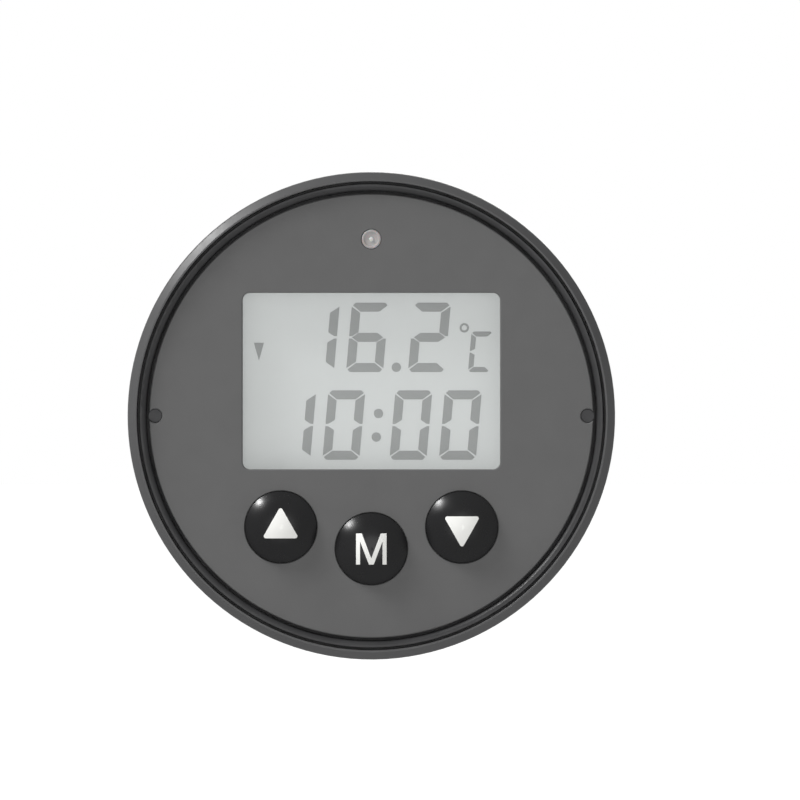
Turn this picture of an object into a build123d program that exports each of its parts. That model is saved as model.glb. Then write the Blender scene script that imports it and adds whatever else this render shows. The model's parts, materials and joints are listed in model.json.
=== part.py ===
from build123d import *
import os
from math import asin, cos, pi, radians, sin, sqrt, tan

# Automatic fish feeder: a round control head with a display and three keys, a clear food drum
# that a small gear motor turns behind it, and a clamp that stands on the rim of the tank.
# Millimetres. X is to the right, Z is up and the face looks along -Y. The origin is the middle
# of the clamp's saddle face, which rests on the rim. "Depth" is measured backwards from the
# front of the bezel, and "v" upwards from the axis of the head.

os.makedirs("parts", exist_ok=True)

# Driving dimensions
HEAD_R = 40.0           # bezel ring, the widest part
SHELL_R = 39.6
SHELL_WALL = 2.2
HEAD_AXIS_Z = 21.0      # head's axis above the rim
DRUM_RISE = 9.5         # drum's axis above the head's axis
RIM_SLOT = 16.0         # clear width between the clamp's two jaws

# Depths through the head
FACE_FRONT = 1.2
FACE_BACK = 3.0
MOAT_BACK = 4.0         # groove around the face plate, which takes spare glue
WALL_BACK = 4.6
NOSE_END = 8.3
PCB_FRONT = 9.5
PCB_BACK = 11.1
MOUNT_FRONT = 37.5
MOUNT_BACK = 39.5
COVER_FRONT = 48.0
COVER_BACK = 51.0
JAW_FRONT = 54.0
JAW_BACK = JAW_FRONT + RIM_SLOT
SEAT_DEPTH = JAW_FRONT + RIM_SLOT / 2
SEAT_V = -HEAD_AXIS_Z

# Face
FACE_R = 36.42
GASKET = (36.95, 38.1)
BEZEL_LIP_R = 38.45
BEVEL = (1.25, 1.0)      # width and depth of the bezel's sloping front
PEG_AT = 35.5
WINDOW = (42.3, 29.0)
WINDOW_V = 5.7
LED_V = 29.0
KEY_R = 5.85
KEY_GAP = 0.08
LED_R = 1.55
KEY_TRAVEL = 0.6
KEY_SIDE = (14.85, -18.25)
KEY_MIDDLE_V = -21.8
PCB_BOSS = (28.1, 13.1)
COVER_SCREW_R = 35.0
COVER_SCREW_ANGLES = (35, 145, 202, 338)

# Drive
GEAR_MODULE = 0.8
DRUM_TEETH = 40
PINION_TEETH = 12
GEAR_DISTANCE = GEAR_MODULE * (DRUM_TEETH + PINION_TEETH) / 2
PINION_ANGLE = 135
PINION_X = GEAR_DISTANCE * cos(radians(PINION_ANGLE))
PINION_V = DRUM_RISE + GEAR_DISTANCE * sin(radians(PINION_ANGLE))
SHAFT_R = 3.0
RUNNING = 0.05          # radial clearance of a shaft in its bush
POSTS = ((-24.5, 8.0), (10.0, 29.0), (22.5, 2.0))

# Drum
DRUM_R = 24.5
DRUM_WALL = 1.6
DRUM_FRONT = 54.0
DRUM_BACK = 112.0
SLOT_FRONT = 92.0
SLOT_LENGTH = 16.0
SLOT_WIDTH = 14.0
SLIDER_FRONT = 75.4
SLIDER_LENGTH = 16.6
HUB_FLATS = 13.0

# Power
CELL_R = 7.1
CELL_BODY = 49.2
CELL_V = -19.0
CELL_DEPTHS = (22.35, 37.35)
DOOR_HALF = 27.0
DOOR_DEPTHS = (15.0, 45.0)

# Clamp
BRACKET_W = 24.0
SADDLE = 3.5
JAW_BOTTOM_V = -37.0
SCREW_V = -30.0
SCREW_R = 3.0
BRACKET_SCREWS = ((-8, -19.25), (8, -19.25), (-8, -31), (8, -31))


def across(depth, x=0.0, v=0.0):
    """Plane that faces the user at a depth: x to the right, y up, extruding forwards."""
    return Plane((x, depth - SEAT_DEPTH, HEAD_AXIS_Z + v), x_dir=(1, 0, 0), z_dir=(0, -1, 0))


def lengthwise(x=0.0, v=0.0):
    """Plane through a line parallel to Y: x is the depth and y the height above that line."""
    return Plane((x, -SEAT_DEPTH, HEAD_AXIS_Z + v), x_dir=(0, 1, 0), z_dir=(1, 0, 0))


def line_at(x=0.0, v=0.0):
    """Axis parallel to Y."""
    return Axis((x, 0, HEAD_AXIS_Z + v), (0, 1, 0))


def turn(*corners, x=0.0, v=0.0, mode=Mode.ADD):
    """Turns a closed outline of (depth, radius) corners about a line parallel to Y."""
    with BuildSketch(lengthwise(x, v)) as outline:
        with BuildLine():
            Polyline(*corners, close=True)
        make_face()
    revolve(outline.sketch.faces(), axis=line_at(x, v), mode=mode)


def tube(front, back, outer, inner=0.0, x=0.0, v=0.0, mode=Mode.ADD):
    """Disc, rod or ring between two depths."""
    turn((front, inner), (front, outer), (back, outer), (back, inner), x=x, v=v, mode=mode)


def block(front, back, width, height, x=0.0, v=0.0, corner=0.0, mode=Mode.ADD):
    """Rectangular block between two depths, with rounded corners as seen from the front."""
    with BuildSketch(across(back, x, v)) as outline:
        if corner:
            RectangleRounded(width, height, corner)
        else:
            Rectangle(width, height)
    extrude(outline.sketch.faces(), amount=back - front, mode=mode)


def band(inner, outer, half_angle, middle=90.0):
    """Piece of a ring in the open sketch, centred on an angle."""
    start = middle - half_angle
    with BuildLine(mode=Mode.PRIVATE) as edge:
        far = CenterArc((0, 0), outer, start, 2 * half_angle)
        near = CenterArc((0, 0), inner, start, 2 * half_angle)
        Line(far @ 0, near @ 0)
        Line(far @ 1, near @ 1)
    make_face(edge.edges())


def dome(shift=0.0, x=0.0, v=0.0, mode=Mode.ADD):
    """Domed top of a key, moved back by shift."""
    apex, base = KEY_APEX + shift, KEY_RIM + shift
    half = asin(KEY_R / DOME_R) / 2
    middle = (apex + DOME_R * (1 - cos(half)), DOME_R * sin(half))
    with BuildSketch(lengthwise(x, v)) as outline:
        with BuildLine():
            ThreePointArc((apex, 0), middle, (base, KEY_R))
            Polyline((base, KEY_R), (base, 0), (apex, 0))
        make_face()
    revolve(outline.sketch.faces(), axis=line_at(x, v), mode=mode)


def save(piece, name):
    """Labels a finished piece and writes it."""
    piece.part.label = name
    export_step(piece.part, f"parts/{name}.step")


# --------------------------------------------------------------------------------------
# Face of the head

with BuildPart() as bezel_ring:
    turn((0, BEZEL_LIP_R), (0, HEAD_R - BEVEL[0]), (BEVEL[1], HEAD_R), (8.2, HEAD_R),
         (8.2, 38.2), (3.0, 38.2), (3.0, BEZEL_LIP_R))
    bevel_edges = bezel_ring.edges().filter_by(GeomType.CIRCLE).group_by(Axis.Y)
    fillet(bevel_edges[1], 0.5)
    lip_edges = bezel_ring.edges().filter_by(GeomType.CIRCLE).group_by(Axis.Y)[0]
    fillet(lip_edges.sort_by(SortBy.RADIUS)[0], 0.12)
    with BuildSketch(across(7.2)):
        with PolarLocations(HEAD_R + 0.2, 96):
            Circle(0.5)
    extrude(amount=4.0, mode=Mode.SUBTRACT)
save(bezel_ring, "bezel_ring")

with BuildPart() as front_gasket:
    tube(0.85, FACE_BACK + 0.5, GASKET[1], GASKET[0])
    front_edges = front_gasket.edges().filter_by(GeomType.CIRCLE).group_by(Axis.Y)[0]
    fillet(front_edges.sort_by(SortBy.RADIUS)[0], 0.95)
    front_edges = front_gasket.edges().filter_by(GeomType.CIRCLE).group_by(Axis.Y)[0]
    fillet(front_edges.sort_by(SortBy.RADIUS)[-1], 0.15)
save(front_gasket, "front_gasket")

KEYS = (
    ("up", -KEY_SIDE[0], KEY_SIDE[1]),
    ("mode", 0.0, KEY_MIDDLE_V),
    ("down", KEY_SIDE[0], KEY_SIDE[1]),
)
KEY_POINTS = [(x, v) for _, x, v in KEYS]
KEY_APEX = -1.3
KEY_RIM = 1.0
DOME_RISE = KEY_RIM - KEY_APEX
DOME_R = (KEY_R**2 + DOME_RISE**2) / (2 * DOME_RISE)

with BuildPart() as face_plate:
    with BuildSketch(across(FACE_BACK)):
        Circle(FACE_R)
        with Locations((0, WINDOW_V)):
            RectangleRounded(*WINDOW, 1.2, mode=Mode.SUBTRACT)
        with Locations(*KEY_POINTS):
            Circle(KEY_R + KEY_GAP, mode=Mode.SUBTRACT)
        with Locations((0, LED_V)):
            Circle(LED_R + 0.05, mode=Mode.SUBTRACT)
        with Locations((-PEG_AT, 0), (PEG_AT, 0)):
            Circle(1.15, mode=Mode.SUBTRACT)
    extrude(amount=FACE_BACK - FACE_FRONT)
    chamfer(face_plate.faces().sort_by(Axis.Y)[0].edges(), 0.15)
save(face_plate, "face_plate")

with BuildPart() as display_window:
    block(1.5, FACE_BACK, WINDOW[0] - 0.2, WINDOW[1] - 0.2, v=WINDOW_V, corner=1.1)
    block(FACE_BACK, 4.4, 45.0, 31.6, v=WINDOW_V, corner=1.5)
save(display_window, "display_window")

# --------------------------------------------------------------------------------------
# Display: two glasses with the segments between them, a reflector, holder and contact strip

LCD_W = 46.0
with BuildPart() as lcd_front_glass:
    block(4.7, 5.5, LCD_W, 32.4, v=7.0)
save(lcd_front_glass, "lcd_front_glass")

with BuildPart() as lcd_rear_glass:
    block(5.6, 6.3, LCD_W, 29.6, v=5.6)
save(lcd_rear_glass, "lcd_rear_glass")

with BuildPart() as lcd_reflector:
    block(6.3, 6.5, LCD_W, 29.6, v=5.6)
save(lcd_reflector, "lcd_reflector")

SLANT = tan(radians(5))
STROKE = 1.5
DIGIT = (6.1, 11.45)
LIT = {"0": "abcdef", "1": "bc", "2": "abged", "6": "afgecd", "C": "afed"}


def segment_corners(letter, w, h, t, gap):
    """Corners of one of a digit's seven bars, in a box of width w and height h."""
    m = h / 2
    tip = 0.3 * t
    bars = {
        "a": [(gap, h - tip), (gap + tip, h), (w - gap - tip, h), (w - gap, h - tip),
              (w - t, h - t), (t, h - t)],
        "b": [(w, h - gap - tip), (w - t, h - t - gap), (w - t, m + t / 2 + gap / 2),
              (w - tip, m + gap), (w, m + gap)],
        "c": [(w, gap + tip), (w - t, t + gap), (w - t, m - t / 2 - gap / 2),
              (w - tip, m - gap), (w, m - gap)],
        "d": [(gap, tip), (gap + tip, 0), (w - gap - tip, 0), (w - gap, tip), (w - t, t), (t, t)],
        "e": [(0, gap + tip), (t, t + gap), (t, m - t / 2 - gap / 2), (tip, m - gap), (0, m - gap)],
        "f": [(0, h - gap - tip), (t, h - t - gap), (t, m + t / 2 + gap / 2), (tip, m + gap),
              (0, m + gap)],
        "g": [(tip, m), (t, m + t / 2), (w - t, m + t / 2), (w - tip, m),
              (w - t, m - t / 2), (t, m - t / 2)],
    }
    return bars[letter]


def digit(figure, x, v, size=DIGIT, stroke=STROKE, gap=0.19):
    """Bars of one leaning figure in the open sketch; (x, v) is its lower left corner."""
    for letter in LIT[figure]:
        corners = segment_corners(letter, *size, stroke, gap)
        Polygon(*[(x + px + py * SLANT, v + py) for px, py in corners], align=None)


TEMPERATURE_V = 7.2
CLOCK_V = -7.25
with BuildPart() as lcd_segments:
    with BuildSketch(across(5.6)):
        digit("1", -12.3, TEMPERATURE_V)
        digit("6", -4.2, TEMPERATURE_V)
        digit("2", 6.0, TEMPERATURE_V)
        digit("C", 15.9, TEMPERATURE_V, size=(3.5, 6.7), stroke=0.85, gap=0.14)
        digit("1", -16.2, CLOCK_V)
        digit("0", -8.1, CLOCK_V)
        digit("0", 2.95, CLOCK_V)
        digit("0", 11.1, CLOCK_V)
        with Locations((4.1, 8.0), (1.16, 0.38), (0.8, -3.5)):
            Circle(0.78)
        with Locations((15.3, 14.5)):
            Circle(0.79)
            Circle(0.42, mode=Mode.SUBTRACT)
        Polygon((-19.4, 12.05), (-17.7, 12.05), (-18.55, 9.1), align=None)
    extrude(amount=0.1)
save(lcd_segments, "lcd_segments")

with BuildPart() as lcd_holder:
    block(WALL_BACK, 9.4, 49.0, 34.2, v=7.0, corner=1.0)
    block(WALL_BACK, 6.5, LCD_W + 0.3, 32.7, v=7.0, mode=Mode.SUBTRACT)
    block(6.5, 9.4, 41.5, 32.7, v=7.0, mode=Mode.SUBTRACT)
save(lcd_holder, "lcd_holder")

with BuildPart() as contact_strip:
    block(5.5, PCB_FRONT, 40.0, 2.2, v=21.7)
save(contact_strip, "contact_strip")

# --------------------------------------------------------------------------------------
# Keys: a domed cap, a light inlay in its top and the plunger of the switch behind it

# Sharp triangle, before its corners are rounded, and how far its base is from the key's centre
LEGEND_W = 6.0
LEGEND_H = 5.28
LEGEND_BASE = 1.8
INLAY = 0.5


def draw_triangle(point_up):
    """Arrow head with slightly rounded corners, in the open sketch."""
    sign = 1 if point_up else -1
    base, tip = -sign * LEGEND_BASE, sign * (LEGEND_H - LEGEND_BASE)
    Polygon((-LEGEND_W / 2, base), (LEGEND_W / 2, base), (0, tip), align=None)


def draw_m():
    """Capital M drawn as one outline of even strokes, in the open sketch."""
    w, h, stem, shoulder, foot, dip, rise = 2.5, 2.55, 0.66, 0.95, 0.38, 1.0, 1.3
    right = [(0, dip - h), (w - shoulder, h), (w, h), (w, -h), (w - stem, -h),
             (w - stem, h - rise), (foot, -h)]
    left = [(-x, y) for x, y in reversed(right[1:])]
    Polygon(*right, *left, align=None)


LEGENDS = {"up": lambda: draw_triangle(True), "mode": draw_m, "down": lambda: draw_triangle(False)}

for key_name, key_x, key_v in KEYS:
    with BuildPart() as key_skin:
        dome(x=key_x, v=key_v)
        dome(shift=INLAY, x=key_x, v=key_v, mode=Mode.SUBTRACT)

    with BuildPart() as key_legend:
        with BuildSketch(across(KEY_RIM, key_x, key_v)) as legend_outline:
            LEGENDS[key_name]()
            if key_name != "mode":
                fillet(legend_outline.vertices(), 0.35)
        extrude(amount=DOME_RISE + 1)
        add(key_skin.part, mode=Mode.INTERSECT)
    save(key_legend, f"legend_{key_name}")

    with BuildPart() as key_cap:
        dome(x=key_x, v=key_v)
        tube(KEY_RIM, 4.75, KEY_R, x=key_x, v=key_v)
        tube(4.75, 5.5, 6.6, x=key_x, v=key_v)
        tube(5.5, 6.0, 2.0, x=key_x, v=key_v)
        add(key_legend.part, mode=Mode.SUBTRACT)
    save(key_cap, f"key_{key_name}")

    with BuildPart() as plunger:
        tube(6.0, 7.1, 1.75, x=key_x, v=key_v)
    save(plunger, f"switch_plunger_{key_name}")

with BuildPart() as tact_switches:
    for _, key_x, key_v in KEYS:
        block(6.9, PCB_FRONT, 6.0, 6.0, x=key_x, v=key_v, corner=0.5)
        tube(6.9, 8.0, 1.9, x=key_x, v=key_v, mode=Mode.SUBTRACT)
save(tact_switches, "tact_switches")

# --------------------------------------------------------------------------------------
# Circuit board and what stands on it

with BuildPart() as main_pcb:
    with BuildSketch(across(PCB_BACK)):
        Circle(34.0)
        with GridLocations(2 * PCB_BOSS[0], 2 * PCB_BOSS[1], 2, 2):
            Circle(1.1, mode=Mode.SUBTRACT)
        with Locations((-1.27, LED_V), (1.27, LED_V)):
            Circle(0.45, mode=Mode.SUBTRACT)
    extrude(amount=PCB_BACK - PCB_FRONT)
save(main_pcb, "main_pcb")

with BuildPart() as pcb_screws:
    for screw_x in (-PCB_BOSS[0], PCB_BOSS[0]):
        for screw_v in (-PCB_BOSS[1], PCB_BOSS[1]):
            tube(5.4, PCB_BACK, 0.85, x=screw_x, v=screw_v)
            tube(PCB_BACK, 12.5, 2.1, x=screw_x, v=screw_v)
save(pcb_screws, "pcb_screws")

with BuildPart() as board_components:
    block(PCB_BACK, 12.6, 9.0, 9.0, x=4.0, v=6.0, corner=0.3)
    block(PCB_BACK, 12.3, 5.0, 3.9, x=-6.0, v=-3.0)
    tube(PCB_BACK, 15.5, 2.5, x=18.0, v=12.0)
    block(PCB_BACK, 14.2, 11.0, 4.7, x=8.0, v=-6.5, corner=1.0)
save(board_components, "board_components")

with BuildPart() as status_led:
    tube(1.6, 5.4, LED_R, v=LED_V)
    tube(5.4, 6.4, 1.9, v=LED_V)
    with BuildSketch(lengthwise(v=LED_V)):
        with BuildLine():
            ThreePointArc((1.1, 0), (1.2, 0.8), (1.6, LED_R))
            Polyline((1.6, LED_R), (1.6, 0), (1.1, 0))
        make_face()
    revolve(axis=line_at(v=LED_V))
save(status_led, "status_led")

with BuildPart() as led_leads:
    for lead_x in (-1.27, 1.27):
        tube(6.4, 12.0, 0.25, x=lead_x, v=LED_V)
save(led_leads, "led_leads")

SENSOR_AT = (-31.0, -5.0)
with BuildPart() as temperature_sensor:
    tube(16.0, 18.5, 1.6, x=SENSOR_AT[0], v=SENSOR_AT[1])
    for lead_v in (SENSOR_AT[1] - 0.8, SENSOR_AT[1] + 0.8):
        tube(PCB_BACK, 16.0, 0.25, x=SENSOR_AT[0], v=lead_v)
save(temperature_sensor, "temperature_sensor")

# --------------------------------------------------------------------------------------
# Head shell, rear cover and their seal and screws

with BuildPart() as head_shell:
    turn((FACE_BACK, 0), (FACE_BACK, 36.9), (3.5, 36.9), (3.5, 38.15), (NOSE_END, 38.15),
         (NOSE_END, SHELL_R), (COVER_FRONT, SHELL_R), (COVER_FRONT, SHELL_R - SHELL_WALL),
         (WALL_BACK, SHELL_R - SHELL_WALL), (WALL_BACK, 0))
    shoulder = head_shell.edges().filter_by(GeomType.CIRCLE).filter_by(
        lambda e: abs(e.radius - SHELL_R) < 0.01)
    chamfer(shoulder.sort_by(Axis.Y)[0], 0.3)
    tube(FACE_BACK, MOAT_BACK, GASKET[0] - 0.05, FACE_R - 0.1, mode=Mode.SUBTRACT)
    block(FACE_BACK, WALL_BACK, 45.4, 32.0, v=WINDOW_V, corner=1.7, mode=Mode.SUBTRACT)
    for _, key_x, key_v in KEYS:
        tube(FACE_BACK, WALL_BACK, 6.2, x=key_x, v=key_v, mode=Mode.SUBTRACT)
    tube(FACE_BACK, WALL_BACK, 1.7, v=LED_V, mode=Mode.SUBTRACT)
    for peg_x in (-PEG_AT, PEG_AT):
        tube(1.7, FACE_BACK + 0.5, 1.05, x=peg_x)
    for boss_x in (-PCB_BOSS[0], PCB_BOSS[0]):
        for boss_v in (-PCB_BOSS[1], PCB_BOSS[1]):
            tube(WALL_BACK, PCB_FRONT, 2.5, x=boss_x, v=boss_v)
            tube(5.2, PCB_FRONT, 0.9, x=boss_x, v=boss_v, mode=Mode.SUBTRACT)
    for angle in COVER_SCREW_ANGLES:
        boss_x = COVER_SCREW_R * cos(radians(angle))
        boss_v = COVER_SCREW_R * sin(radians(angle))
        tube(34.0, 46.3, 2.6, x=boss_x, v=boss_v)
        tube(36.0, 46.3, 1.2, x=boss_x, v=boss_v, mode=Mode.SUBTRACT)
    # groove for the seal, opening for the battery door and slits by the temperature sensor
    tube(COVER_FRONT - 0.5, COVER_FRONT, 38.8, 38.0, mode=Mode.SUBTRACT)
    block(*DOOR_DEPTHS, 2 * DOOR_HALF, 30.0, v=-35.0, mode=Mode.SUBTRACT)
    for slit in range(4):
        block(13.0 + 3 * slit, 14.3 + 3 * slit, 10.0, 9.0, x=-38.5, v=-5.0, mode=Mode.SUBTRACT)
save(head_shell, "head_shell")

with BuildPart() as rear_seal:
    tube(COVER_FRONT - 0.48, COVER_FRONT, 38.75, 38.05)
save(rear_seal, "rear_seal")


def screw_points():
    """Places of the rear cover's screws, from the head's axis."""
    return [(COVER_SCREW_R * cos(radians(a)), COVER_SCREW_R * sin(radians(a)))
            for a in COVER_SCREW_ANGLES]


with BuildPart() as rear_cover:
    tube(COVER_FRONT, COVER_BACK, SHELL_R)
    outer_edge = rear_cover.edges().filter_by(GeomType.CIRCLE).sort_by(Axis.Y)[-1]
    fillet(outer_edge, 1.4)
    tube(46.4, COVER_FRONT, 37.2, 36.0)
    for screw_x, screw_v in screw_points():
        tube(46.4, COVER_FRONT, 2.2, x=screw_x, v=screw_v)
    for post_x, post_v in POSTS:
        tube(MOUNT_BACK, COVER_FRONT, 3.0, x=post_x, v=post_v)
        tube(MOUNT_BACK, 46.0, 0.9, x=post_x, v=post_v, mode=Mode.SUBTRACT)
    tube(46.4, COVER_FRONT, 7.5, v=DRUM_RISE)
    tube(46.4, COVER_BACK, 5.02, v=DRUM_RISE, mode=Mode.SUBTRACT)
    for screw_x, screw_v in screw_points():
        tube(46.4, COVER_BACK, 1.35, x=screw_x, v=screw_v, mode=Mode.SUBTRACT)
        tube(49.2, COVER_BACK, 2.45, x=screw_x, v=screw_v, mode=Mode.SUBTRACT)
    for screw_x, screw_v in BRACKET_SCREWS:
        tube(COVER_FRONT, COVER_BACK, 1.35, x=screw_x, v=screw_v, mode=Mode.SUBTRACT)
save(rear_cover, "rear_cover")

with BuildPart() as rear_cover_screws:
    for screw_x, screw_v in screw_points():
        tube(38.0, 49.2, 1.15, x=screw_x, v=screw_v)
        tube(49.2, 50.8, 2.3, x=screw_x, v=screw_v)
        for slot in ((2.7, 0.6), (0.6, 2.7)):
            block(50.0, 50.8, *slot, x=screw_x, v=screw_v, mode=Mode.SUBTRACT)
save(rear_cover_screws, "rear_cover_screws")

# --------------------------------------------------------------------------------------
# Batteries, their tray, contacts and door

with BuildPart() as battery_tray:
    block(13.8, 45.9, 58.0, 16.4, v=-18.0)
    block(15.0, 44.7, 55.2, 14.8, v=-18.8, mode=Mode.SUBTRACT)
    with BuildSketch(across(45.9)):
        Circle(37.1)
    extrude(amount=45.9 - 13.8, mode=Mode.INTERSECT)
save(battery_tray, "battery_tray")

with BuildPart() as batteries:
    for side, cell_depth in zip((-1, 1), CELL_DEPTHS):
        cell_plane = Plane(
            (side * (CELL_BODY / 2 - 0.5), cell_depth - SEAT_DEPTH, HEAD_AXIS_Z + CELL_V),
            x_dir=(0, 1, 0), z_dir=(-side, 0, 0))
        with BuildSketch(cell_plane):
            Circle(CELL_R)
        extrude(amount=CELL_BODY)
        with BuildSketch(cell_plane):
            Circle(2.75)
        extrude(amount=-1.0)
save(batteries, "batteries")

with BuildPart() as battery_contacts:
    for side in (-1, 1):
        for cell_depth in CELL_DEPTHS:
            with BuildSketch(across(cell_depth + 3.5)):
                with BuildLine():
                    Polyline((side * 27.25, CELL_V - 5.0), (side * 27.25, CELL_V - 3.0),
                             (side * 25.55, CELL_V), (side * 27.25, CELL_V + 3.0),
                             (side * 27.25, CELL_V + 6.0))
                trace(line_width=0.3)
            extrude(amount=7.0)
save(battery_contacts, "battery_contacts")

with BuildPart() as battery_door:
    with BuildSketch(across(DOOR_DEPTHS[1] - 0.3)):
        Circle(SHELL_R)
        Circle(SHELL_R - SHELL_WALL, mode=Mode.SUBTRACT)
        with Locations((0, -35.0)):
            Rectangle(2 * DOOR_HALF - 0.6, 30.0, mode=Mode.INTERSECT)
    extrude(amount=DOOR_DEPTHS[1] - DOOR_DEPTHS[0] - 0.6)
    for rib_x in (-12.0, 12.0):
        block(20.0, 40.0, 1.6, 10.0, x=rib_x, v=-31.6)
    for groove in range(5):
        block(38.0 + 1.2 * groove, 38.6 + 1.2 * groove, 16.0, 1.0, v=-39.5, mode=Mode.SUBTRACT)
save(battery_door, "battery_door")

# --------------------------------------------------------------------------------------
# Gear motor and gears. Both gears have involute teeth with a pressure angle of 20 degrees.

PRESSURE = radians(20)
BACKLASH = 0.12


def involute(base_r, radius, centre_line, half_base, side):
    """Point of a tooth's flank at a radius; side is 1 or -1."""
    roll = sqrt(max((radius / base_r) ** 2 - 1, 0.0))
    angle = centre_line + side * (half_base - (roll - asin(roll / sqrt(1 + roll**2))))
    return (radius * cos(angle), radius * sin(angle))


def gear_outline(teeth, addendum, tooth_angle):
    """Gear in the open sketch, with the middle of a tooth at tooth_angle degrees."""
    pitch_r = GEAR_MODULE * teeth / 2
    base_r = pitch_r * cos(PRESSURE)
    tip_r = pitch_r + addendum
    root_r = pitch_r - 1.25 * GEAR_MODULE
    half_pitch = pi / (2 * teeth) - BACKLASH / (4 * pitch_r)
    half_base = half_pitch + tan(PRESSURE) - PRESSURE
    start_r = max(base_r, root_r)
    Circle(root_r)
    for tooth in range(teeth):
        middle = radians(tooth_angle) + 2 * pi * tooth / teeth
        flanks = []
        for side in (1, -1):
            radii = (start_r, (start_r + tip_r) / 2, tip_r)
            flanks.append([involute(base_r, r, middle, half_base, side) for r in radii])
        inner = root_r * 0.95
        feet = []
        for side in (1, -1):
            foot_angle = middle + side * half_base * 0.97
            feet.append((inner * cos(foot_angle), inner * sin(foot_angle)))
        with BuildLine(mode=Mode.PRIVATE) as edge:
            ThreePointArc(*flanks[0])
            ThreePointArc(*flanks[1])
            ThreePointArc(flanks[0][2], (tip_r * cos(middle), tip_r * sin(middle)), flanks[1][2])
            Polyline(flanks[0][0], feet[0], feet[1], flanks[1][0])
        make_face(edge.edges())


with BuildPart() as motor_mount:
    with BuildSketch(across(MOUNT_BACK)):
        with Locations(*POSTS, (0, DRUM_RISE)):
            Circle(4.0)
        with Locations((PINION_X, PINION_V)):
            Rectangle(14.0, 12.0)
        make_hull()
        with Locations(*POSTS):
            Circle(1.05, mode=Mode.SUBTRACT)
        with Locations((0, DRUM_RISE)):
            Circle(4.52, mode=Mode.SUBTRACT)
        with Locations((PINION_X, PINION_V)):
            Circle(2.1, mode=Mode.SUBTRACT)
        with Locations((PINION_X - 4.5, PINION_V), (PINION_X + 4.5, PINION_V)):
            Circle(0.85, mode=Mode.SUBTRACT)
    extrude(amount=MOUNT_BACK - MOUNT_FRONT)
save(motor_mount, "motor_mount")

with BuildPart() as mount_screws:
    for post_x, post_v in POSTS:
        tube(MOUNT_FRONT, 45.0, 0.85, x=post_x, v=post_v)
        tube(MOUNT_FRONT - 1.5, MOUNT_FRONT, 1.9, x=post_x, v=post_v)
save(mount_screws, "mount_screws")

with BuildPart() as gearhead:
    block(28.5, MOUNT_FRONT, 12.0, 10.0, x=PINION_X, v=PINION_V)
    tube(33.5, MOUNT_FRONT, 1.5 + RUNNING, x=PINION_X, v=PINION_V, mode=Mode.SUBTRACT)
    for screw_x in (PINION_X - 4.5, PINION_X + 4.5):
        tube(35.5, MOUNT_FRONT, 0.85, x=screw_x, v=PINION_V, mode=Mode.SUBTRACT)
save(gearhead, "gearhead")

with BuildPart() as motor_can:
    with BuildSketch(across(28.5, PINION_X, PINION_V)):
        Circle(6.0)
        Rectangle(12.0, 10.0, mode=Mode.INTERSECT)
    extrude(amount=14.5)
    tube(13.2, 14.0, 2.2, x=PINION_X, v=PINION_V)
save(motor_can, "motor_can")

with BuildPart() as motor_screws:
    for screw_x in (PINION_X - 4.5, PINION_X + 4.5):
        tube(36.0, MOUNT_BACK, 0.8, x=screw_x, v=PINION_V)
        tube(MOUNT_BACK, 40.3, 1.5, x=screw_x, v=PINION_V)
save(motor_screws, "motor_screws")

with BuildPart() as gearhead_shaft:
    tube(34.0, 46.2, 1.5, x=PINION_X, v=PINION_V)
save(gearhead_shaft, "gearhead_shaft")

with BuildPart() as motor_pinion:
    with BuildSketch(across(46.0, PINION_X, PINION_V)):
        gear_outline(PINION_TEETH, GEAR_MODULE, PINION_ANGLE + 180)
        Circle(1.52, mode=Mode.SUBTRACT)
    extrude(amount=5.0)
save(motor_pinion, "motor_pinion")

MAGNET_AT = (-11.0, DRUM_RISE)
with BuildPart() as drum_gear:
    with BuildSketch(across(45.5, v=DRUM_RISE)):
        gear_outline(DRUM_TEETH, 0.65 * GEAR_MODULE, PINION_ANGLE + 180 / DRUM_TEETH)
    extrude(amount=4.0)
    tube(40.0, 46.0, 6.0, v=DRUM_RISE)
    tube(40.0, 46.0, SHAFT_R + 0.02, v=DRUM_RISE, mode=Mode.SUBTRACT)
    tube(41.5, 43.6, 2.02, x=MAGNET_AT[0], v=MAGNET_AT[1], mode=Mode.SUBTRACT)
save(drum_gear, "drum_gear")

with BuildPart() as position_magnet:
    tube(41.5, 43.5, 2.0, x=MAGNET_AT[0], v=MAGNET_AT[1])
save(position_magnet, "position_magnet")

with BuildPart() as position_sensor:
    block(MOUNT_BACK, 41.0, 4.0, 3.0, x=MAGNET_AT[0], v=MAGNET_AT[1])
save(position_sensor, "position_sensor")

with BuildPart() as inner_bush:
    tube(MOUNT_FRONT - 1.0, MOUNT_FRONT, 5.8, SHAFT_R + RUNNING, v=DRUM_RISE)
    tube(MOUNT_FRONT, MOUNT_BACK + 0.3, 4.5, SHAFT_R + RUNNING, v=DRUM_RISE)
save(inner_bush, "inner_bush")

with BuildPart() as outer_bush:
    tube(46.5, 50.0, 5.0, SHAFT_R + RUNNING, v=DRUM_RISE)
save(outer_bush, "outer_bush")

with BuildPart() as shaft_seal:
    tube(50.0, COVER_BACK, 5.0, SHAFT_R + 0.08, v=DRUM_RISE)
save(shaft_seal, "shaft_seal")

HUB_PIN_DEPTH = 57.0
with BuildPart() as drive_shaft:
    tube(34.0, 60.0, SHAFT_R, v=DRUM_RISE)
    tube(35.2, 36.1, SHAFT_R, 2.4, v=DRUM_RISE, mode=Mode.SUBTRACT)
    with BuildSketch(Plane.YZ):
        with Locations((HUB_PIN_DEPTH - SEAT_DEPTH, HEAD_AXIS_Z + DRUM_RISE)):
            Circle(1.02)
    extrude(amount=SHAFT_R + 1, both=True, mode=Mode.SUBTRACT)
save(drive_shaft, "drive_shaft")

with BuildPart() as shaft_clip:
    tube(35.25, 36.05, 4.8, 2.42, v=DRUM_RISE)
    block(35.25, 36.05, 4.0, 6.0, v=DRUM_RISE - 3.0, mode=Mode.SUBTRACT)
save(shaft_clip, "shaft_clip")

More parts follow.
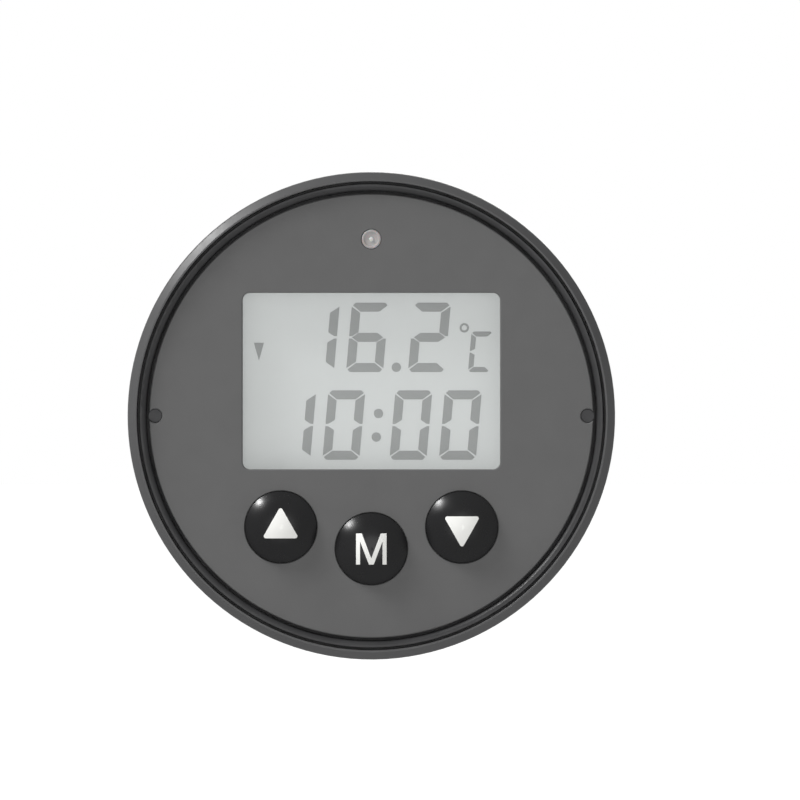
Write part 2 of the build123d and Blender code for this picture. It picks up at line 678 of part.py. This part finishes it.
with BuildPart() as drive_hub:
    tube(51.6, 53.5, 9.0, v=DRUM_RISE)
    with BuildSketch(across(61.6, v=DRUM_RISE)):
        RegularPolygon(HUB_FLATS / 2, 6, major_radius=False)
    extrude(amount=61.6 - 53.5)
    tube(51.6, 60.1, SHAFT_R + 0.02, v=DRUM_RISE, mode=Mode.SUBTRACT)
    chamfer(drive_hub.faces().sort_by(Axis.Y)[-1].edges(), 0.6)
    with BuildSketch(Plane.YZ):
        with Locations((HUB_PIN_DEPTH - SEAT_DEPTH, HEAD_AXIS_Z + DRUM_RISE)):
            Circle(1.02)
    extrude(amount=HUB_FLATS, both=True, mode=Mode.SUBTRACT)
save(drive_hub, "drive_hub")

with BuildPart() as hub_pin:
    with BuildSketch(Plane.YZ):
        with Locations((HUB_PIN_DEPTH - SEAT_DEPTH, HEAD_AXIS_Z + DRUM_RISE)):
            Circle(1.0)
    extrude(amount=HUB_FLATS / 2 - 0.3, both=True)
save(hub_pin, "hub_pin")

# --------------------------------------------------------------------------------------
# Food drum, its lid and the slider that sets the size of a meal

RAIL_R = 27.4
with BuildPart() as drum:
    turn((DRUM_FRONT, 0), (DRUM_FRONT, DRUM_R), (DRUM_BACK, DRUM_R),
         (DRUM_BACK, DRUM_R - DRUM_WALL), (56.0, DRUM_R - DRUM_WALL), (56.0, 10.2),
         (64.2, 10.2), (64.2, 0), v=DRUM_RISE)
    fillet(drum.edges().filter_by(GeomType.CIRCLE).group_by(Axis.Y)[0], 1.2)
    with BuildSketch(across(62.2, v=DRUM_RISE)):
        RegularPolygon(HUB_FLATS / 2 + 0.25, 6, major_radius=False)
    extrude(amount=62.2 - DRUM_FRONT, mode=Mode.SUBTRACT)
    with BuildSketch(across(110.0, v=DRUM_RISE)):
        for rail_side in (-1, 1):
            band(DRUM_R - 0.4, RAIL_R, 1.7, middle=90 + 24.5 * rail_side)
            band(26.3, RAIL_R, 2.6, middle=90 + 22.0 * rail_side)
    extrude(amount=110.0 - 75.2)
    with BuildSketch(Plane.XY.offset(HEAD_AXIS_Z + DRUM_RISE + 15)):
        with Locations((0, SLOT_FRONT + SLOT_LENGTH / 2 - SEAT_DEPTH)):
            RectangleRounded(SLOT_WIDTH, SLOT_LENGTH, 2.0)
    extrude(amount=20, mode=Mode.SUBTRACT)
save(drum, "drum")

with BuildPart() as dose_slider:
    with BuildSketch(across(SLIDER_FRONT + SLIDER_LENGTH, v=DRUM_RISE)):
        band(24.8, 26.0, 22.0)
    extrude(amount=SLIDER_LENGTH)
    with BuildSketch(across(SLIDER_FRONT + 4.0, v=DRUM_RISE)):
        band(25.8, 28.1, 11.0)
    extrude(amount=3.0)
save(dose_slider, "dose_slider")

with BuildPart() as drum_lid:
    tube(DRUM_BACK + 0.1, 117.1, 26.2, v=DRUM_RISE)
    fillet(drum_lid.edges().filter_by(GeomType.CIRCLE).sort_by(Axis.Y)[-1], 1.2)
    with BuildSketch(across(117.1, v=DRUM_RISE)):
        Circle(22.0)
        Rectangle(7.0, 50.0, mode=Mode.SUBTRACT)
    extrude(amount=3.0, mode=Mode.SUBTRACT)
    with BuildSketch(across(117.1, v=DRUM_RISE)):
        with PolarLocations(27.6, 18):
            Circle(2.0)
    extrude(amount=5.0, mode=Mode.SUBTRACT)
    tube(108.7, DRUM_BACK + 0.1, 22.6, 20.8, v=DRUM_RISE)
save(drum_lid, "drum_lid")

# --------------------------------------------------------------------------------------
# Clamp for the rim of the tank

with BuildPart() as clamp_bracket:
    with BuildSketch(lengthwise()):
        with BuildLine():
            Polyline((COVER_BACK, -9.0), (53.5, -9.0), (53.5, SEAT_V + SADDLE), (74.0, SEAT_V + SADDLE),
                     (74.0, JAW_BOTTOM_V), (JAW_BACK, JAW_BOTTOM_V), (JAW_BACK, SEAT_V),
                     (JAW_FRONT, SEAT_V), (JAW_FRONT, JAW_BOTTOM_V), (COVER_BACK, JAW_BOTTOM_V),
                     close=True)
        make_face()
    extrude(amount=BRACKET_W / 2, both=True)
    saddle_corners = clamp_bracket.edges().filter_by(Axis.X).filter_by(
        lambda e: abs(e.center().Z) < 0.01)
    fillet(saddle_corners, 1.0)
    outer_corner = clamp_bracket.edges().filter_by(Axis.X).filter_by(
        lambda e: abs(e.center().Z - SADDLE) < 0.01).sort_by(Axis.Y)[-1]
    fillet(outer_corner, 2.5)
    lower_corners = clamp_bracket.edges().filter_by(Axis.Y).group_by(Axis.Z)[0]
    fillet(lower_corners, 3.0)
    upper_corners = clamp_bracket.edges().filter_by(Axis.Y).group_by(Axis.Z)[-1]
    fillet(upper_corners, 2.0)
    tube(73.0, 77.0, 6.0, v=SCREW_V)
    tube(69.0, 77.0, SCREW_R + RUNNING, v=SCREW_V, mode=Mode.SUBTRACT)
    for screw_x, screw_v in BRACKET_SCREWS:
        tube(COVER_BACK, 53.3, 1.0, x=screw_x, v=screw_v, mode=Mode.SUBTRACT)
save(clamp_bracket, "clamp_bracket")

with BuildPart() as bracket_screws:
    for screw_x, screw_v in BRACKET_SCREWS:
        tube(46.5, COVER_FRONT, 2.3, x=screw_x, v=screw_v)
        tube(COVER_FRONT, 53.2, 0.97, x=screw_x, v=screw_v)
save(bracket_screws, "bracket_screws")

with BuildPart() as jaw_pad:
    block(JAW_FRONT, JAW_FRONT + 1.2, 20.0, 11.0, v=SCREW_V, corner=1.5)
save(jaw_pad, "jaw_pad")

with BuildPart() as clamp_pad:
    tube(67.2, 69.7, 6.0, v=SCREW_V)
    fillet(clamp_pad.edges().filter_by(GeomType.CIRCLE).sort_by(Axis.Y)[0], 0.6)
    tube(68.1, 69.7, 2.0, v=SCREW_V, mode=Mode.SUBTRACT)
save(clamp_pad, "clamp_pad")

KNOB_FRONT = 88.5
KNOB_BACK = 97.0
with BuildPart() as thumb_screw:
    tube(69.9, 95.0, SCREW_R, v=SCREW_V)
    tube(68.2, 69.9, 1.9, v=SCREW_V)
save(thumb_screw, "thumb_screw")

with BuildPart() as clamp_knob:
    tube(KNOB_FRONT, KNOB_BACK, 7.2, v=SCREW_V)
    fillet(clamp_knob.edges().filter_by(GeomType.CIRCLE), 1.0)
    with BuildSketch(across(KNOB_BACK, v=SCREW_V)):
        with PolarLocations(8.6, 8):
            Circle(2.2)
    extrude(amount=KNOB_BACK - KNOB_FRONT - 1.6, mode=Mode.SUBTRACT)
    tube(KNOB_FRONT, 95.1, SCREW_R + 0.02, v=SCREW_V, mode=Mode.SUBTRACT)
save(clamp_knob, "clamp_knob")
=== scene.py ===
"""Looks of the automatic fish feeder: materials, fine detail, camera, lights and floor."""
import json
from math import cos, pi, radians, sin

import bmesh
import bpy
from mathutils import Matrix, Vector


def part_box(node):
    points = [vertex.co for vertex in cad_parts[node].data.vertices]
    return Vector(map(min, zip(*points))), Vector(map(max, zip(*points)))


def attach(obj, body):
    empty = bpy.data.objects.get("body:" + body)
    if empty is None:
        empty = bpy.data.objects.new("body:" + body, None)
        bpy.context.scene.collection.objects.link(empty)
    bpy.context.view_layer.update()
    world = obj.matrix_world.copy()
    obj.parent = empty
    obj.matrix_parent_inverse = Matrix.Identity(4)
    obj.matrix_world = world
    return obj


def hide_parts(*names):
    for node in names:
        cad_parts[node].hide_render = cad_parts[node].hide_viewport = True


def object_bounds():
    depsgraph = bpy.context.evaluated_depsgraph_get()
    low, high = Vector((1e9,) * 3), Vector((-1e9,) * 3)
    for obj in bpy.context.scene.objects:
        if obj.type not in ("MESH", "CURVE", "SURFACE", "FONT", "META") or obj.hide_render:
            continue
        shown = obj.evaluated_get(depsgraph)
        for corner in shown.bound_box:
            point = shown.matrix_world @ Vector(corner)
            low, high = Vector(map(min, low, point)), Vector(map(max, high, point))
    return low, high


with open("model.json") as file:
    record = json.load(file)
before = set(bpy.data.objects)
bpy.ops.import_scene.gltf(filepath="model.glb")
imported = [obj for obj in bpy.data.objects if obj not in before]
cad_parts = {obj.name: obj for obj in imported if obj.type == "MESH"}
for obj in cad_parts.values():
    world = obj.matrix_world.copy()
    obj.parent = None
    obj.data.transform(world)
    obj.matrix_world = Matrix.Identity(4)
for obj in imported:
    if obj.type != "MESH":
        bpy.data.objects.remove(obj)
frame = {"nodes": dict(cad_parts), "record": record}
CAD_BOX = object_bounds()
NODES = frame["nodes"]
MM = 0.001


# ------------------------------------------------------------------ places read from the frame
def middle(node):
    """Middle of a CAD node's box."""
    low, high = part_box(node)
    return (low + high) / 2


HEAD = middle("bezel_ring")                      # the head's axis runs along Y through it
FRONT_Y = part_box("bezel_ring")[0].y
DRUM = middle("drum_lid")                        # the drum's axis is the lid's
SCREW = middle("thumb_screw")
LED = middle("status_led")


def depth_y(depth):
    """Y of a depth in millimetres behind the bezel's front."""
    return FRONT_Y + depth * MM


def depth_of(y):
    """Depth in millimetres behind the bezel's front of a Y."""
    return (y - FRONT_Y) / MM


# ------------------------------------------------------------------ materials
MATERIALS = {}


class Shader:
    """A Principled material with helpers for the nodes that give it its surface."""

    def __init__(self, name, color, roughness, **sockets):
        self.material = bpy.data.materials.new(name)
        self.material.use_nodes = True
        self.nodes = self.material.node_tree.nodes
        self.links = self.material.node_tree.links
        self.bsdf = self.nodes["Principled BSDF"]
        self.bsdf.inputs["Base Color"].default_value = (*color, 1)
        self.bsdf.inputs["Roughness"].default_value = roughness
        for socket, value in sockets.items():
            self.bsdf.inputs[socket.replace("_", " ")].default_value = value
        self.place = self.nodes.new("ShaderNodeTexCoord").outputs["Object"]
        self.bumps = None
        self.color = color
        MATERIALS[name] = self.material

    def stretched(self, x, y, z):
        """Object coordinates scaled along each axis, for brushed or drawn surfaces."""
        mapping = self.nodes.new("ShaderNodeMapping")
        mapping.inputs["Scale"].default_value = (x, y, z)
        self.links.new(self.place, mapping.inputs["Vector"])
        return mapping.outputs["Vector"]

    def noise(self, per_metre, detail=3.0, vector=None):
        """Factor of a noise with so many waves in a metre."""
        node = self.nodes.new("ShaderNodeTexNoise")
        node.inputs["Scale"].default_value = per_metre
        node.inputs["Detail"].default_value = detail
        self.links.new(vector or self.place, node.inputs["Vector"])
        return node.outputs["Fac"]

    def cells(self, per_metre):
        """Distance to the middle of rounded cells, so many in a metre."""
        node = self.nodes.new("ShaderNodeTexVoronoi")
        node.inputs["Scale"].default_value = per_metre
        self.links.new(self.place, node.inputs["Vector"])
        return node.outputs["Distance"]

    def remap(self, value, low, high, start=0.3, end=0.7):
        """Maps a factor between two numbers."""
        node = self.nodes.new("ShaderNodeMapRange")
        node.inputs["From Min"].default_value = start
        node.inputs["From Max"].default_value = end
        node.inputs["To Min"].default_value = low
        node.inputs["To Max"].default_value = high
        self.links.new(value, node.inputs["Value"])
        return node.outputs["Result"]

    def vary_roughness(self, value, low, high):
        """Moves the roughness between two numbers by a factor."""
        self.links.new(self.remap(value, low, high), self.bsdf.inputs["Roughness"])

    def vary_color(self, value, darker, lighter, start=0.3, end=0.7):
        """Mixes two shades of the base colour by a factor."""
        ramp = self.nodes.new("ShaderNodeValToRGB")
        ramp.color_ramp.elements[0].position = start
        ramp.color_ramp.elements[1].position = end
        ramp.color_ramp.elements[0].color = (*[c * darker for c in self.color], 1)
        ramp.color_ramp.elements[1].color = (*[min(c * lighter, 1) for c in self.color], 1)
        self.links.new(value, ramp.inputs["Fac"])
        self.links.new(ramp.outputs["Color"], self.bsdf.inputs["Base Color"])

    def wear(self, radius, lighter):
        """Lightens the edges within a radius in millimetres, where handling rubs them."""
        rounding = self.nodes.new("ShaderNodeBevel")
        rounding.samples = 6
        rounding.inputs["Radius"].default_value = radius * MM
        surface = self.nodes.new("ShaderNodeNewGeometry")
        likeness = self.nodes.new("ShaderNodeVectorMath")
        likeness.operation = "DOT_PRODUCT"
        self.links.new(rounding.outputs["Normal"], likeness.inputs[0])
        self.links.new(surface.outputs["Normal"], likeness.inputs[1])
        edge = self.remap(likeness.outputs["Value"], 1, 0, start=0.8, end=0.985)
        patchy = self.nodes.new("ShaderNodeMath")
        patchy.operation = "MULTIPLY"
        self.links.new(edge, patchy.inputs[0])
        patches = self.remap(self.noise(350, detail=4), 0.25, 1, start=0.35, end=0.65)
        self.links.new(patches, patchy.inputs[1])
        base = self.bsdf.inputs["Base Color"].links[0].from_socket
        blend = self.nodes.new("ShaderNodeMixRGB")
        blend.inputs["Color2"].default_value = (*[min(c * lighter, 1) for c in self.color], 1)
        self.links.new(patchy.outputs["Value"], blend.inputs["Fac"])
        self.links.new(base, blend.inputs["Color1"])
        self.links.new(blend.outputs["Color"], self.bsdf.inputs["Base Color"])

    def bump(self, height, distance, strength=1.0):
        """Adds a bump, its distance in millimetres, on top of the earlier ones."""
        node = self.nodes.new("ShaderNodeBump")
        node.inputs["Distance"].default_value = distance * MM
        node.inputs["Strength"].default_value = strength
        self.links.new(height, node.inputs["Height"])
        if self.bumps:
            self.links.new(self.bumps, node.inputs["Normal"])
        self.bumps = node.outputs["Normal"]
        self.links.new(self.bumps, self.bsdf.inputs["Normal"])


def moulded(name, color, roughness, grain=0.02, grain_per_metre=3200, mottle=0.05, **sockets):
    """Injection-moulded plastic: spark-eroded grain, slight mottling and uneven gloss."""
    shader = Shader(name, color, roughness, **sockets)
    shader.vary_color(shader.noise(90, detail=4), 1 - mottle, 1 + mottle)
    shader.vary_roughness(shader.noise(260, detail=5), roughness - 0.05, roughness + 0.06)
    shader.bump(shader.noise(grain_per_metre, detail=2), grain)
    return shader


def metal(name, color, roughness, drawn=(1, 0.02, 1), scratches=0.004):
    """Drawn or turned metal with fine lines along the work."""
    shader = Shader(name, color, roughness, Metallic=1.0)
    lines = shader.noise(9000, detail=2, vector=shader.stretched(*drawn))
    shader.vary_roughness(lines, roughness - 0.06, roughness + 0.1)
    shader.vary_color(shader.noise(400, detail=4), 0.86, 1.06)
    shader.bump(lines, scratches)


def rubber(name, color, roughness=0.62):
    """Matt moulded rubber with a faint bloom."""
    shader = Shader(name, color, roughness)
    shader.vary_color(shader.noise(180, detail=5), 0.85, 1.25)
    shader.vary_roughness(shader.noise(900, detail=3), roughness - 0.08, roughness + 0.1)
    shader.bump(shader.noise(5200, detail=2), 0.015)


moulded("bezel_plastic", (0.062, 0.062, 0.063), 0.38, grain=0.003, grain_per_metre=5200)
shell = moulded("shell_plastic", (0.036, 0.036, 0.038), 0.46, grain=0.03, grain_per_metre=2600)
shell.wear(0.5, 1.9)
clamp = moulded("clamp_plastic", (0.036, 0.036, 0.038), 0.44, grain=0.03, grain_per_metre=2600)
clamp.wear(0.5, 2.2)
moulded("face_grey", (0.096, 0.096, 0.096), 0.62, grain=0.004, grain_per_metre=6500, mottle=0.012)
moulded("key_black", (0.006, 0.006, 0.0065), 0.27, grain=0.001, grain_per_metre=900, mottle=0.1)
moulded("legend_white", (0.74, 0.74, 0.715), 0.40, grain=0.002, mottle=0.015)
moulded("part_black", (0.025, 0.025, 0.026), 0.5)
moulded("inner_plastic", (0.50, 0.50, 0.46), 0.5)
moulded("white_plastic", (0.74, 0.74, 0.70), 0.38)
moulded("hub_plastic", (0.62, 0.62, 0.585), 0.34, grain=0.006)
moulded("slider_grey", (0.30, 0.30, 0.305), 0.42, grain=0.015)
moulded("cell_wrap", (0.045, 0.10, 0.21), 0.25, grain=0.002)

PAINTED_DISPLAY_GLOW = 0.36                # painted glow: the display has no backlight, so this even glow stands in for light that its recess shades off
INK_SHARE_OF_PAINTED_GLOW = 0.27                 # share of that painted glow that a bar gives off
# the display's bars and background carry a painted glow in their emission, not a real backlight
moulded("lcd_ink", (0.09, 0.096, 0.093), 0.5, grain=0.0, mottle=0.01,
        Emission_Color=(0.95, 1.0, 0.975, 1), Emission_Strength=INK_SHARE_OF_PAINTED_GLOW * PAINTED_DISPLAY_GLOW)
moulded("lcd_silver", (0.213, 0.222, 0.219), 0.5, grain=0.001, grain_per_metre=9000, mottle=0.012,
        Emission_Color=(0.96, 1.0, 0.985, 1), Emission_Strength=PAINTED_DISPLAY_GLOW)

rubber("gasket_rubber", (0.027, 0.027, 0.028), 0.40)
rubber("seal_rubber", (0.012, 0.012, 0.012))
metal("steel", (0.56, 0.56, 0.57), 0.28)
metal("spring_metal", (0.66, 0.62, 0.52), 0.22)
metal("brass", (0.72, 0.53, 0.22), 0.26)
metal("magnet", (0.62, 0.62, 0.64), 0.14)


def clear(name, color, alpha, roughness):
    """Thin clear sheet that light passes straight through."""
    shader = Shader(name, color, roughness, Alpha=alpha, IOR=1.49)
    shader.vary_roughness(shader.noise(300, detail=4), roughness, roughness + 0.05)


clear("window_clear", (0.93, 0.95, 0.95), 0.07, 0.05)
clear("lcd_glass", (0.90, 0.93, 0.92), 0.05, 0.04)


def milky(name, color, roughness):
    """Diffused epoxy of an indicator lamp: light enters a little way before it comes back."""
    shader = Shader(name, color, roughness, IOR=1.5, Subsurface_Weight=0.3, Subsurface_Scale=0.0006)
    shader.vary_color(shader.noise(900, detail=3), 0.95, 1.05)
    shader.vary_roughness(shader.noise(1500), roughness - 0.04, roughness + 0.06)


milky("led_grey", (0.325, 0.308, 0.305), 0.38)
milky("led_die", (0.50, 0.52, 0.48), 0.25)

smoke = Shader("drum_clear", (0.80, 0.815, 0.83), 0.035, Transmission_Weight=1.0, IOR=1.49)
smoke.vary_roughness(smoke.noise(150, detail=5), 0.02, 0.085)
smoke.bump(smoke.noise(45, detail=2), 0.03, strength=0.35)

board = Shader("board_green", (0.012, 0.10, 0.035), 0.32)
board.vary_color(board.cells(420), 0.6, 1.3, start=0.05, end=0.25)
board.bump(board.cells(420), 0.02)


# ------------------------------------------------------------------ mesh helpers
def mesh_object(name, bm, material, body, node=None, sharp=35):
    """Finishes a bmesh as a piece that rides on a body and may stand for a CAD node."""
    bmesh.ops.recalc_face_normals(bm, faces=bm.faces)
    for face in bm.faces:
        face.smooth = True
    for edge in bm.edges:
        edge.smooth = len(edge.link_faces) == 2 and edge.calc_face_angle(0) < radians(sharp)
    mesh = bpy.data.meshes.new(name)
    bm.to_mesh(mesh)
    bm.free()
    piece = bpy.data.objects.new(name, mesh)
    bpy.context.scene.collection.objects.link(piece)
    mesh.materials.append(MATERIALS[material])
    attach(piece, body)
    if node:
        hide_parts(node)


def lathe(outline, x, z, segments=96, ripple=None):
    """Turns a closed outline of (depth, radius) in millimetres about a line parallel to Y.

    ripple(depth, radius, angle) gives a change of radius in millimetres."""
    bm = bmesh.new()
    rings = []
    for depth, radius in outline:
        if radius < 1e-6:
            rings.append([bm.verts.new((x, depth_y(depth), z))])
            continue
        ring = []
        for k in range(segments):
            angle = 2 * pi * k / segments
            r = (radius + (ripple(depth, radius, angle) if ripple else 0)) * MM
            ring.append(bm.verts.new((x + r * cos(angle), depth_y(depth), z + r * sin(angle))))
        rings.append(ring)
    for a, b in zip(rings, rings[1:] + rings[:1]):
        if len(a) == 1 and len(b) == 1:
            continue
        for k in range(segments):
            k2 = (k + 1) % segments
            corners = [a[k % len(a)], a[k2 % len(a)], b[k2 % len(b)], b[k % len(b)]]
            bm.faces.new(list(dict.fromkeys(corners)))
    return bm


# ------------------------------------------------------------------ material of the CAD nodes
SLOT_OF = {s["node"]: s["material_slot"] for s in frame["record"]["subparts"]}
for node, piece in NODES.items():
    piece.data.materials.clear()
    piece.data.materials.append(MATERIALS[SLOT_OF[node]])

# ------------------------------------------------------------------ indicator lamp
# Outlines are (depth, radius) in millimetres: the lens with its raised rim, the spot in its middle
LED_OUTLINE = [(1.34, 0), (1.34, 1.02), (1.29, 1.14), (1.20, 1.22), (1.17, 1.34), (1.19, 1.47),
               (1.28, 1.57), (5.35, 1.57), (5.35, 0)]
mesh_object("led_lens", lathe(LED_OUTLINE, LED.x, LED.z, segments=64), "led_grey", "head",
            node="status_led")
DIE_OUTLINE = [(1.16, 0), (1.17, 0.18), (1.22, 0.32), (1.36, 0.40), (1.40, 0)]
mesh_object("led_spot", lathe(DIE_OUTLINE, LED.x, LED.z, segments=32), "led_die", "head")

# ------------------------------------------------------------------ thread of the thumb screw
THREAD_PITCH = 1.0
THREAD_DEPTH = 0.6
FLANK_SLOPE = 2.3               # above 2, so that the crests are flat
RUN_OUT = 0.8                   # length over which the thread fades at either end
SCREW_LOW, SCREW_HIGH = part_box("thumb_screw")
SCREW_R = (SCREW_HIGH.x - SCREW_LOW.x) / 2 / MM
SCREW_FRONT = depth_of(SCREW_LOW.y)
SCREW_BACK = depth_of(SCREW_HIGH.y)
PIVOT_R = 1.9
PIVOT_END = depth_of(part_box("clamp_pad")[1].y) + 0.2
THREAD_END = depth_of(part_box("clamp_knob")[0].y)


def thread(depth, radius, angle):
    """Right-hand V thread with flat crests, fading out before both of its ends."""
    if radius < SCREW_R - 0.01:
        return 0.0
    turns = depth / THREAD_PITCH + angle / (2 * pi)
    crest = min(1.0, FLANK_SLOPE * abs(turns % 1.0 - 0.5))
    fade = min(1.0, (depth - PIVOT_END - 0.3) / RUN_OUT, (THREAD_END - 0.2 - depth) / RUN_OUT)
    return -THREAD_DEPTH * max(fade, 0.0) * (1 - crest)


step = THREAD_PITCH / 12
steps = int((THREAD_END - PIVOT_END) / step)
pivot = [(SCREW_FRONT, 0), (SCREW_FRONT, PIVOT_R - 0.2), (SCREW_FRONT + 0.2, PIVOT_R),
         (PIVOT_END, PIVOT_R), (PIVOT_END, SCREW_R - 0.35)]
shank = [(PIVOT_END + 0.35 + step * k, SCREW_R) for k in range(steps)]
end = [(SCREW_BACK, SCREW_R), (SCREW_BACK, 0)]
mesh_object("screw_thread",
            lathe(pivot + shank + end, SCREW.x, SCREW.z, segments=48, ripple=thread),
            "steel", "thumb_screw", node="thumb_screw")

# ------------------------------------------------------------------ scale of the dose slider
DRUM_R = (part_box("drum")[1].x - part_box("drum")[0].x) / 2 / MM
SLOT_BACK = 108.0
SLOT_LENGTH = 16.0
MARK_WIDTH = 0.4
MARK_SUNK = 0.1                 # how far a mark reaches into the drum's wall
MARK_PROUD = 0.12
MARK_START = 27.0               # degrees from the drum's top
MARK_REACH = (6.0, 3.0, 4.4, 3.0)        # degrees: at every half, eighth, quarter, eighth


def arc_bar(bm, front, back, inner, outer, start, end, steps=8):
    """Curved bar about the drum's axis, from one angle to another in degrees from the top."""
    rings = []
    for k in range(steps + 1):
        angle = radians(90 + start + (end - start) * k / steps)
        ring = []
        for depth, radius in ((front, inner), (front, outer), (back, outer), (back, inner)):
            ring.append(bm.verts.new((DRUM.x + radius * MM * cos(angle), depth_y(depth),
                                      DRUM.z + radius * MM * sin(angle))))
        rings.append(ring)
    for a, b in zip(rings, rings[1:]):
        for k in range(4):
            bm.faces.new((a[k], a[(k + 1) % 4], b[(k + 1) % 4], b[k]))
    bm.faces.new(rings[0])
    bm.faces.new(rings[-1])


marks = bmesh.new()
for eighth in range(9):
    mark_depth = SLOT_BACK - SLOT_LENGTH * eighth / 8
    arc_bar(marks, mark_depth - MARK_WIDTH / 2, mark_depth + MARK_WIDTH / 2,
            DRUM_R - MARK_SUNK, DRUM_R + MARK_PROUD,
            MARK_START, MARK_START + MARK_REACH[eighth % 4])
mesh_object("dose_scale", marks, "legend_white", "drum")

# ------------------------------------------------------------------ camera, lights, floor
PICTURE_W = 131.1 * MM          # width of the picture in the plane of the face
CAMERA_AWAY = 0.95
CAMERA_RIGHT = 4.7 * MM         # of the head's axis
CAMERA_UP = 2.6 * MM
SENSOR_W = 36
camera_data = bpy.data.cameras.new("camera")
camera_data.sensor_width = SENSOR_W
camera_data.lens = SENSOR_W * CAMERA_AWAY / PICTURE_W
camera_data.clip_start = 0.01
camera = bpy.data.objects.new("camera", camera_data)
camera.location = (HEAD.x + CAMERA_RIGHT, FRONT_Y - CAMERA_AWAY, HEAD.z + CAMERA_UP)
camera.rotation_euler = (pi / 2, 0, 0)
bpy.context.scene.collection.objects.link(camera)
bpy.context.scene.camera = camera
bpy.context.scene.view_settings.view_transform = "Standard"


CENTRE = Vector((HEAD.x, FRONT_Y, HEAD.z))


def area_light(name, place, size, power, diffuse=True, glossy=True):
    """Round softbox at a place from the face's centre, which it faces.

    It may light surfaces, show in reflections, or both."""
    data = bpy.data.lights.new(name, "AREA")
    data.shape = "DISK"
    data.size = size
    data.energy = power
    lamp = bpy.data.objects.new(name, data)
    lamp.location = CENTRE + Vector(place)
    lamp.rotation_euler = (-Vector(place)).to_track_quat("-Z", "Y").to_euler()
    lamp.visible_diffuse = diffuse
    lamp.visible_glossy = glossy
    bpy.context.scene.collection.objects.link(lamp)


area_light("key_light", (-0.50, -0.17, 0.61), 0.30, 9.0, glossy=False)
area_light("key_glint", (-0.548, -0.17, 0.567), 0.11, 3.0, diffuse=False)
area_light("front_sheen", (0.0, -1.0, 0.0), 1.0, 2.6, diffuse=False)
area_light("fill_light", (0.75, -0.45, 0.35), 0.6, 0.4, glossy=False)
area_light("back_light", (0.25, 1.0, 0.65), 0.6, 6.0)

WORLD_LIGHT = 0.38              # what lights the object; it is white where looked at
world = bpy.data.worlds.new("studio")
world.use_nodes = True
bpy.context.scene.world = world
tree = world.node_tree
background = tree.nodes["Background"]
background.inputs["Color"].default_value = (1, 1, 1, 1)
background.inputs["Strength"].default_value = WORLD_LIGHT
seen = tree.nodes.new("ShaderNodeBackground")
seen.inputs["Color"].default_value = (1, 1, 1, 1)
seen.inputs["Strength"].default_value = 1.0
light_path = tree.nodes.new("ShaderNodeLightPath")
looked_at = tree.nodes.new("ShaderNodeMath")
looked_at.operation = "MAXIMUM"
tree.links.new(light_path.outputs["Is Camera Ray"], looked_at.inputs[0])
tree.links.new(light_path.outputs["Is Transmission Ray"], looked_at.inputs[1])
chooser = tree.nodes.new("ShaderNodeMixShader")
tree.links.new(looked_at.outputs["Value"], chooser.inputs["Fac"])
tree.links.new(background.outputs["Background"], chooser.inputs[1])
tree.links.new(seen.outputs["Background"], chooser.inputs[2])
tree.links.new(chooser.outputs["Shader"], tree.nodes["World Output"].inputs["Surface"])

FLOOR_BELOW = 0.06
FLOOR_HALF = 6.0
floor_bm = bmesh.new()
bmesh.ops.create_grid(floor_bm, x_segments=1, y_segments=1, size=FLOOR_HALF)
floor_mesh = bpy.data.meshes.new("floor")
floor_bm.to_mesh(floor_mesh)
floor_bm.free()
floor = bpy.data.objects.new("floor", floor_mesh)
floor.location = (0, 0, CAD_BOX[0][2] - FLOOR_BELOW)
bpy.context.scene.collection.objects.link(floor)
floor.visible_glossy = False
paper = Shader("floor_paper", (0.25, 0.25, 0.25), 0.85)
paper.bsdf.inputs["Emission Color"].default_value = (1, 1, 1, 1)
paper.bsdf.inputs["Emission Strength"].default_value = 0.92
paper.vary_roughness(paper.noise(400), 0.8, 0.9)
floor_mesh.materials.append(paper.material)
